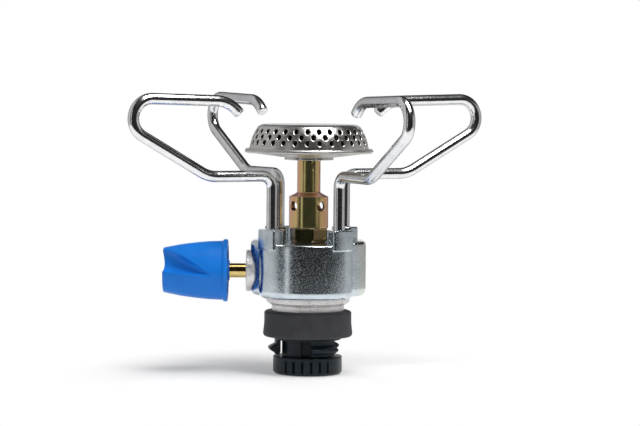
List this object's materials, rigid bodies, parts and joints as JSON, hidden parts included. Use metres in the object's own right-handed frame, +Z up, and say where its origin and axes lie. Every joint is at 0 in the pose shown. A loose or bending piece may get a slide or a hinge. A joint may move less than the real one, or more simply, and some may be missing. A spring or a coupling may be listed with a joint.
{
  "type": "camping stove burner",
  "caption": "Cartridge-top gas stove burner with swivelling bent-wire pot supports, a perforated burner head, a side control knob and a bayonet foot.",
  "frame": {"origin": "centre of the socket mouth in the underside of the foot", "axes": "+Z up along the burner axis, -X out along the valve axis towards the knob"},
  "size_m": [0.126, 0.125, 0.1004],
  "materials": {
    "plated_casting": "bright zinc-plated casting with fine grain",
    "raw_casting": "raw grey casting",
    "brass": "turned brass",
    "dark_gauze": "heat-stained steel gauze",
    "plain_steel": "plain steel",
    "passivated_steel": "yellow-passivated with iridescent tint",
    "burner_steel": "satin pressed stainless steel",
    "bright_wire": "mirror bright plated wire",
    "rubber": "matte black rubber",
    "black_plastic": "moulded black plastic",
    "blue_plastic": "moulded blue plastic, satin"
  },
  "bodies": {
    "stove": {"valve_housing": "plated_casting", "valve_core": "raw_casting", "gland_nut": "raw_casting", "valve_seat": "brass", "gas_jet": "brass", "jet_filter": "plain_steel", "mixing_tube": "passivated_steel", "burner_collar": "burner_steel", "burner_dish": "burner_steel", "burner_cap": "burner_steel", "burner_gauze": "dark_gauze", "gas_spreader": "burner_steel", "sealing_ring": "rubber", "bayonet_ring": "black_plastic", "connector_foot": "black_plastic", "connector_screws": "plain_steel", "opener_pin": "brass", "inlet_seal": "rubber", "inlet_gauze": "plain_steel"},
    "control": {"control_knob": "blue_plastic", "valve_spindle": "brass", "spindle_seal": "rubber"},
    "support_front_left": {"pot_support_front_left": "bright_wire", "stem_clip_front_left": "plain_steel"},
    "support_front_right": {"pot_support_front_right": "bright_wire", "stem_clip_front_right": "plain_steel"},
    "support_back_left": {"pot_support_back_left": "bright_wire", "stem_clip_back_left": "plain_steel"},
    "support_back_right": {"pot_support_back_right": "bright_wire", "stem_clip_back_right": "plain_steel"}
  },
  "joints": [
    {"name": "knob_turn", "type": "hinge", "parent": "stove", "child": "control", "pos_m": [-0.0287, 0, 0.0367], "axis": [-1, 0, 0], "range_deg": [0, 540]},
    {"name": "swivel_front_left", "type": "hinge", "parent": "stove", "child": "support_front_left", "pos_m": [-0.01289, -0.01082, 0.0522], "axis": [0, 0, 1], "range_deg": [-96, 0]},
    {"name": "swivel_front_right", "type": "hinge", "parent": "stove", "child": "support_front_right", "pos_m": [0.01082, -0.01289, 0.0522], "axis": [0, 0, 1], "range_deg": [-93.2, 0]},
    {"name": "swivel_back_left", "type": "hinge", "parent": "stove", "child": "support_back_left", "pos_m": [-0.01082, 0.01289, 0.0522], "axis": [0, 0, 1], "range_deg": [-97.4, 0]},
    {"name": "swivel_back_right", "type": "hinge", "parent": "stove", "child": "support_back_right", "pos_m": [0.01289, 0.01082, 0.0522], "axis": [0, 0, 1], "range_deg": [-92.6, 0]}
  ]
}
